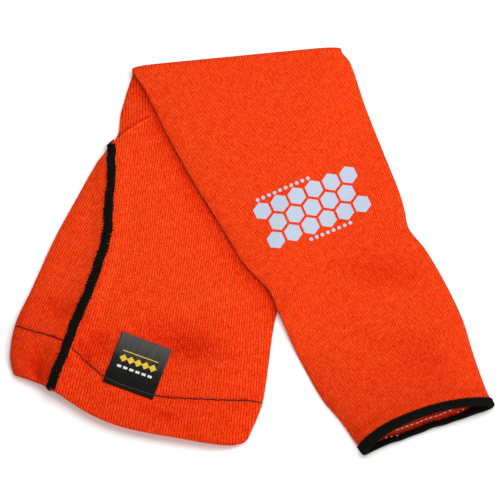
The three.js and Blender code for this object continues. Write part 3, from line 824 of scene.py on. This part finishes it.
def stitch_thread(name, front):
    """The hem's stitching: one thread that dips into the cloth at each stitch."""
    steps = np.linspace(-0.995, 0.995, STITCH_STEPS)
    distance = stitch_distance(steps)
    path = UPPER_ARM.skin(distance, steps, np.full(STITCH_STEPS, front), 0.0, upper_arm_relief)
    length = np.concatenate([[0], np.cumsum(np.linalg.norm(np.diff(path, axis=0), axis=1))])
    phase = length / STITCH_LENGTH
    path[:, :2] += (0.16 * np.sin(2 * np.pi * phase / 2.3 + 1))[:, None] * UPPER_ARM.heading
    rise = 0.1 + 0.26 * np.abs(np.sin(np.pi * phase)) ** 0.6
    if front:
        path[:, 2] = np.maximum(path[:, 2] - rise, STITCH_RADIUS)
    else:
        on_label = np.array([height_over(label_tree, x, y) for x, y in path[:, :2]])
        path[:, 2] = np.maximum(path[:, 2], on_label) + rise
    from_left = (steps + 1) * UPPER_ARM.section(distance)["half_width"]
    under_seam = np.abs(from_left - seam_inset(distance)) < SEAM_WIDTH / 2
    crossed = np.zeros(STITCH_STEPS, bool) if front else on_label > 0
    kind = np.where(under_seam, 2, crossed)
    parts = np.split(np.arange(STITCH_STEPS), np.flatnonzero(np.diff(kind)) + 1)
    made = []
    for value, part_name in ((0, name), (1, "label_thread")):
        paths = [(path[k], np.array([0.2, 1.0, 0])) for k in parts if kind[k[0]] == value and len(k) > 2]
        if paths:
            made.append(strand_object(part_name, paths, STITCH_RADIUS))
    return made


label_tree = tree_of(label)
hem_thread, label_thread = stitch_thread("hem_thread", False)
[hem_thread_under] = stitch_thread("hem_thread_under", True)


def short_threads(name, places, length, radius):
    """Short stitches on the lower layer's inner face: each place is (place across, inwards, lift)."""
    paths = []
    for t, inwards, lift in places:
        steps = np.linspace(-0.5, 0.5, 5)
        across = t + steps * length / MOUTH_HALF
        lifts = lift - 0.25 * (1 - (2 * steps) ** 2)
        paths.append((
            FOREARM.skin(FOREARM_LENGTH - inwards + 0 * steps, across, np.zeros(5, bool), lifts),
            UP,
        ))
    return strand_object(name, paths, radius)


def white_places():
    """Pairs of stitches in a row inside the wrist mouth, and a few on its binding."""
    pairs = np.arange(-0.4, 0.46, 0.075)
    row = []
    for i, t in enumerate(pairs):
        for side in (-0.5, 0.5):
            inwards = 4.7 + 1.1 * ease((t - 0.05) / 0.5)
            row.append((t + 0.022 * side + 0.005 * jitter(i, 2), inwards, -WALL - 0.1))
    ends = [(-0.65, 2.2), (-0.568, 1.6), (-0.483, 1.3), (0.545, 2.9), (0.635, 3.4)]
    return row + [(t, inwards, -WALL - BINDING_BUILD - 0.25) for t, inwards in ends]


white_thread = short_threads("white_stitches", white_places(), length=0.55, radius=0.24)


def film(name, outlines, thickness, tree):
    """Thin patches on a surface: each outline is a convex ring of plan places."""
    all_points, all_faces, start = [], [], 0
    for outline in outlines:
        outline = np.asarray(outline)
        centre = outline.mean(0)
        size = np.linalg.norm(outline - centre, axis=1).max()
        rings = max(2, int(size / 1.2) + 1)
        n = len(outline)
        plan = np.concatenate([[centre]] + [mix(centre, outline, k / rings) for k in range(1, rings + 1)])
        heights = np.array([height_over(tree, x, y) for x, y in plan])
        low = np.concatenate([plan, heights[:, None] - 0.05], 1)
        high = low + np.array([0, 0, thickness + 0.05])
        j = np.arange(n)
        k = (j + 1) % n
        for points, flip in ((high, False), (low, True)):
            flat = np.stack([0 * j, 1 + j, 1 + k], -1).tolist()
            for r in range(rings - 1):
                a, b = 1 + r * n, 1 + (r + 1) * n
                flat += np.stack([a + j, b + j, b + k, a + k], -1).tolist()
            all_faces += [[v + start for v in (f[::-1] if flip else f)] for f in flat]
            all_points.append(points)
            start += len(points)
        a = start - n
        b = a - len(plan)
        all_faces += np.stack([b + j, a + j, a + k, b + k], -1).tolist()
    return mesh_object(name, np.concatenate(all_points), all_faces, smooth=False, merge=None)


def ring_of(centre, right, up, shape):
    """A ring of plan places round a centre, from (x, y) places of a shape."""
    shape = np.asarray(shape, float)
    return centre + shape[:, :1] * right + shape[:, 1:] * up


def ring_through(corners, per_side):
    share = np.arange(per_side)[:, None] / per_side
    return np.concatenate([mix(a, b, share) for a, b in zip(corners, np.roll(corners, -1, 0))])


def polygon(sides, radius, turn=0.0, per_side=4):
    return ring_through(radius * towards(turn + 360 * np.arange(sides) / sides), per_side)


def bar(x0, x1, y0, y1):
    return ring_through(np.array([(x0, y0), (x1, y0), (x1, y1), (x0, y1)], float), 8)


def print_outlines():
    right, up = towards(PRINT_TURN), towards(PRINT_TURN + 90)
    shapes = []
    step = math.sqrt(3) * TILE + TILE_GAP
    for row, count in ((1, 6), (0, 5), (-1, 6)):
        for i in range(count):
            x = (i - (count - 1) / 2) * step
            y = row * step * math.sqrt(3) / 2
            shapes.append(polygon(6, TILE, 30) + np.array([x, y]))
    for y, start, end in ((15.8, -26, 8), (-16.2, -8, 18)):
        for x in np.arange(start, end, DOT_PITCH):
            shapes.append(polygon(20, DOT_RADIUS, per_side=1) + np.array([x, y]))
    return [ring_of(PRINT_AT, right, up, shape) for shape in shapes]


print_film = film("transfer_print", print_outlines(), 0.09, cloth_tree)


def label_outlines(kind):
    yellow = [polygon(4, 2.3, 0) + np.array([x, 1.2]) for x in (-8.6, -4.3, 0, 4.3, 8.6)]
    yellow.append(bar(-10.5, 10.5, 5.2, 5.7))
    white = [bar(-10.5 + 3.6 * i, -8.1 + 3.6 * i, -4.6, -3.2) for i in range(6)]
    shapes = yellow if kind == "yellow" else white
    return [ring_of(LABEL_AT, LABEL_RIGHT, -LABEL_DOWN, shape) for shape in shapes]


label_yellow = film("label_yellow", label_outlines("yellow"), 0.06, label_tree)
label_white = film("label_white", label_outlines("white"), 0.06, label_tree)


def tail_path():
    """The seam's loose thread end, which lies along the flat edge above the gusset."""
    share = np.linspace(0, 1, TAIL_STEPS)
    distance = GUSSET_TOP + 1.2 - 5.4 * share
    offset = mix(1.6, -0.25, ease(share / 0.45)) + 0.2 * np.sin(9 * share)
    t = np.maximum(offset / UPPER_ARM.section(distance)["half_width"] - 1, -1)
    return UPPER_ARM.skin(distance, t, np.zeros(TAIL_STEPS, bool), mix(1.5, 0.35, ease(share / 0.5)))


tail_radius = np.linspace(0.55, 0.38, TAIL_STEPS)
tail = strand_object("seam_tail", [(tail_path(), np.array([1.0, 0, 0]))], tail_radius)


# Materials.
class Graph:
    """Short names for making shader nodes."""

    def __init__(self, name):
        self.material = bpy.data.materials.new(name)
        self.material.use_nodes = True
        self.nodes = self.material.node_tree.nodes
        self.links = self.material.node_tree.links
        self.shader = self.nodes["Principled BSDF"]

    def put(self, socket, value):
        if isinstance(value, bpy.types.NodeSocket):
            self.links.new(value, socket)
        elif value is not None:
            socket.default_value = value

    def fill(self, node, **values):
        for key, value in values.items():
            self.put(node.inputs[key.replace("_", " ")], value)

    def node(self, kind, inputs=(), **settings):
        node = self.nodes.new(kind)
        for key, value in settings.items():
            setattr(node, key, value)
        for i, value in enumerate(inputs):
            self.put(node.inputs[i], value)
        return node

    def math(self, operation, *values):
        return self.node("ShaderNodeMath", values, operation=operation).outputs[0]

    def noise(self, vector, scale, detail=2.0, rough=0.5):
        node = self.node("ShaderNodeTexNoise")
        self.fill(node, Vector=vector, Scale=scale, Detail=detail, Roughness=rough)
        return node.outputs["Fac"]

    def ramp(self, value, stops):
        node = self.node("ShaderNodeValToRGB")
        self.put(node.inputs[0], value)
        elements = node.color_ramp.elements
        while len(elements) < len(stops):
            elements.new(0.5)
        for element, (place, colour) in zip(elements, stops):
            element.position = place
            element.color = (*colour, 1)
        return node.outputs["Color"]

    def times(self, a, b):
        return self.math("MULTIPLY", a, b)

    def plus(self, a, b):
        return self.math("ADD", a, b)

    def minus(self, a, b):
        return self.math("SUBTRACT", a, b)

    def combine(self, x, y, z=0.0):
        return self.node("ShaderNodeCombineXYZ", (x, y, z)).outputs[0]

    def bump(self, height, strength, distance):
        node = self.node("ShaderNodeBump")
        self.fill(node, Height=height, Strength=strength, Distance=distance)
        self.links.new(node.outputs["Normal"], self.shader.inputs["Normal"])

    def finish(self, **values):
        self.fill(self.shader, **values)
        return self.material


def crease_painted_light(g):
    """The crease's painted highlight with its painted shade, from the place on the cloth in millimetres."""
    position = g.node("ShaderNodeNewGeometry").outputs["Position"]
    split = g.node("ShaderNodeSeparateXYZ", (position,)).outputs

    def distance(direction):
        parts = [g.times(split[i], 1000.0 * float(direction[i])) for i in (0, 1)]
        return g.minus(g.plus(parts[0], parts[1]), float(CREASE_FOOT @ direction))

    run, aside = distance(towards(CREASE_TURN)), distance(towards(CREASE_TURN + 90))
    aside = g.plus(aside, g.times(g.times(run, run), CREASE_BEND))
    here = g.math("ABSOLUTE", g.minus(run, CREASE_HALF))
    here = g.math("LESS_THAN", here, CREASE_HALF + 0.5)
    total = 0.0
    for place, share, width in CREASE_PAINTED_LINES:
        off = g.math("DIVIDE", g.minus(aside, place), width)
        line = g.math("EXPONENT", g.times(g.times(off, off), -1.0))
        total = g.plus(total, g.times(line, share))
    return g.times(total, here)


def knit_material(name, painted_light_gain):
    """Ribs and courses in relief, with a mottled colour that is darker in the grooves, in dents and beside
    edges as painted shade; the gain brightens it, as painted light, for the inner surface.
    """
    g = Graph(name)
    uv = g.node("ShaderNodeUVMap", uv_map="knit").outputs[0]
    u, v = g.node("ShaderNodeSeparateXYZ", (uv,)).outputs[:2]

    def spread(across, along, detail=2.0, rough=0.5):
        place = g.combine(g.times(u, across), g.times(v, along))
        return g.minus(g.noise(place, 1.0, detail, rough), 0.5)

    wander = g.times(spread(0.12, 0.1), 0.6)
    u = g.plus(u, wander)
    # 0 between two wales, 1 in the middle of one.
    aside = g.times(g.math("PINGPONG", u, 0.5), 2.0)
    leg = g.math("SINE", g.times(aside, math.pi))
    profile = g.plus(g.times(leg, 0.62), g.times(aside, 0.5))
    course = g.plus(g.math("DIVIDE", v, COURSE), g.times(aside, -0.55))
    turn = g.times(course, 2 * math.pi)
    bulge = g.times(g.plus(g.math("COSINE", turn), 1.0), 0.5)
    height = g.times(profile, g.plus(g.times(bulge, 0.45), 0.55))
    # Darker where the relief is low: painted shade in the grooves between wales and courses.
    tone = g.plus(g.times(height, 1.05), -0.02)
    # The crease's painted highlight and painted shade.
    tone = g.plus(tone, crease_painted_light(g))
    # Painted shade: darker by the vertices' painted shade, lighter where it is below 0.
    painted_shade = g.node("ShaderNodeAttribute", attribute_name="painted_shade").outputs["Fac"]
    tone = g.minus(tone, g.times(painted_shade, 0.3))
    for across, along, weight in KNIT_MOTTLES:
        tone = g.plus(tone, g.times(spread(across, along, 3.0, 0.6), weight))
    colour = g.ramp(tone, [
        (place, tuple(min(painted_light_gain * part, BRIGHTEST) for part in shade)) for place, shade in KNIT_TONES_AND_GROOVE_SHADE
    ])
    fuzz = g.noise(g.combine(g.times(u, 4.0), g.times(v, 3.0)), 1.0, 2.0, 0.7)
    relief = g.plus(height, g.times(fuzz, 0.25))
    g.bump(relief, 1.0, 0.00032)
    return g.finish(
        Base_Color=colour, Roughness=0.95, Specular_IOR_Level=0.03,
        Sheen_Weight=0.06, Sheen_Roughness=0.5, Sheen_Tint=(1.0, 0.16, 0.03, 1),
    )


def satin_material():
    g = Graph("black satin")
    uv = g.node("ShaderNodeUVMap", uv_map="knit").outputs[0]
    u, v = g.node("ShaderNodeSeparateXYZ", (uv,)).outputs[:2]
    streak = g.noise(g.combine(g.times(u, 26.0), g.times(v, 1.2)), 1.0)
    # Lighter towards the label's top, with streaks: a painted sheen.
    up = g.minus(1.0, v)
    painted_sheen = g.plus(up, g.times(g.minus(streak, 0.5), 0.5))
    colour = g.ramp(painted_sheen, [
        (0.25, (0.003, 0.0031, 0.0025)), (0.5, (0.008, 0.008, 0.007)), (0.62, (0.028, 0.027, 0.026)),
        (1.0, (0.06, 0.055, 0.053)),
    ])
    weave = g.math("SINE", g.times(u, 2 * math.pi * 110))
    g.bump(g.plus(weave, g.times(streak, 3.0)), 0.25, 0.00006)
    return g.finish(Base_Color=colour, Roughness=0.5, Specular_IOR_Level=0.06)


def grained(name, stops, scale, roughness, specular, rough=0.6, bump=(0.2, 0.0001)):
    """A plain material with a fine grain in its colour and relief."""
    g = Graph(name)
    grain = g.noise(g.node("ShaderNodeNewGeometry").outputs["Position"], scale, 3.0, rough)
    g.bump(grain, *bump)
    return g.finish(Base_Color=g.ramp(grain, stops), Roughness=roughness, Specular_IOR_Level=specular)


def two_tones(dark, bright):
    return [(0.3, dark), (0.7, bright)]


knit_cloth = knit_material("orange knit", 1.0)
# A brighter copy of the knit for its inner surface: painted light, seen inside the mouths.
knit_inside_lit = knit_material("knit reverse", 1.5)
black_tones = [(0.3, (0.0012, 0.0012, 0.0009)), (0.75, (0.0085, 0.0082, 0.006))]
bed_tones = [(0.6, (0.004, 0.0038, 0.003)), (0.67, (0.25, 0.016, 0.003)), (0.8, (0.55, 0.04, 0.008))]
brown_tones = two_tones((0.014, 0.006, 0.004), (0.045, 0.018, 0.012))
pale_tones = two_tones((0.022, 0.015, 0.012), (0.06, 0.042, 0.036))
black_thread = grained("black thread", black_tones, 2600, 0.85, 0.04, 0.7, (0.6, 0.0002))
thread_bed = grained("thread bed", bed_tones, 420, 0.9, 0.05, 0.75, (0.6, 0.0003))
brown_thread = grained("hem thread", brown_tones, 2600, 0.85, 0.1)
pale_thread = grained("label thread", pale_tones, 2600, 0.85, 0.1)
white_cotton = grained("white thread", two_tones((0.8, 0.8, 0.8), (0.95, 0.95, 0.95)), 2600, 0.85, 0.2)
print_ink = grained("print", two_tones((0.335, 0.381, 0.473), (0.35, 0.398, 0.49)), 900, 0.6, 0.25)
yellow_ink = grained("yellow weave", two_tones((0.52, 0.33, 0.015), (0.6, 0.4, 0.03)), 1500, 0.6, 0.2)
white_ink = grained("white weave", two_tones((0.5, 0.5, 0.49), (0.58, 0.58, 0.57)), 1500, 0.6, 0.2)

for obj, material, slot, node in (
    (knit, knit_cloth, "knit", "knit_sleeve"),
    (gusset, knit_cloth, "knit", "gusset"),
    (seam_upper, black_thread, "thread", "gusset_seam_upper"),
    (seam_lower, black_thread, "thread", "gusset_seam_lower"),
    (binding, black_thread, "thread", "wrist_binding"),
    (label, satin_material(), "label", "hem_label"),
    (hem_thread, brown_thread, "thread", None),
    (hem_thread_under, brown_thread, "thread", None),
    (white_thread, white_cotton, "thread", None),
    (tail, black_thread, "thread", None),
    (label_thread, pale_thread, "thread", None),
    (print_film, print_ink, "knit", None),
    (label_yellow, yellow_ink, "label", None),
    (label_white, white_ink, "label", None),
):
    obj.data.materials.append(material)
    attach(obj, "root")
    if node:
        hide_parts(node)

# Second materials: the inner surface of the knit, brighter as painted light, and the beds of the seams,
# whose vertices come first.
knit.data.materials.append(knit_inside_lit)
for obj in (seam_upper, seam_lower):
    obj.data.materials.append(thread_bed)
    for face in obj.data.polygons:
        face.material_index = int(face.vertices[0] < 2 * BED_ROWS * BED_COLUMNS)

# Camera, floor and light.
ELEVATION = math.radians(76)
CAMERA_DISTANCE = 6.9375
LENS = 900
SENSOR = 36
FLOOR_HALF = 6
AIM = Vector((-0.00111, 0.00069, 0))

camera = add_object("camera", bpy.data.cameras.new("camera"))
camera.data.lens = LENS
camera.data.sensor_width = SENSOR
camera.location = AIM + CAMERA_DISTANCE * Vector((0, -math.cos(ELEVATION), math.sin(ELEVATION)))
camera.rotation_euler = (math.pi / 2 - ELEVATION, 0, 0)
bpy.context.scene.camera = camera

floor_mesh = bpy.data.meshes.new("floor")
corners = [(x * FLOOR_HALF, y * FLOOR_HALF, 0) for x, y in ((-1, -1), (1, -1), (1, 1), (-1, 1))]
floor_mesh.from_pydata(corners, [], [(0, 1, 2, 3)])
floor = add_object("floor", floor_mesh)
pale = Graph("pale floor")
pale.finish(Base_Color=(0.95, 0.95, 0.95, 1), Roughness=0.9, Specular_IOR_Level=0.1)
floor_mesh.materials.append(pale.material)


def area_light(name, place, aim, size, power):
    light = add_object(name, bpy.data.lights.new(name, "AREA"))
    light.data.shape = "DISK"
    light.data.size = size
    light.data.energy = power
    light.location = place
    light.visible_camera = False
    light.rotation_euler = (Vector(aim) - Vector(place)).to_track_quat("-Z", "Y").to_euler()


area_light("key", (0.03, 0.11, 0.5), (0.02, 0.04, 0), 0.45, 2.4)
area_light("side", (0.95, 0.4, 0.85), (0, 0, 0), 0.4, 6.5)
area_light("front", (0.75, -1.15, 0.55), (0, 0, 0), 0.6, 12.0)
world = bpy.data.worlds.new("studio")
world.use_nodes = True
background = world.node_tree.nodes["Background"].inputs
background[0].default_value = (1, 1, 1, 1)
background[1].default_value = 0.34
bpy.context.scene.world = world
bpy.context.scene.view_settings.view_transform = "Standard"
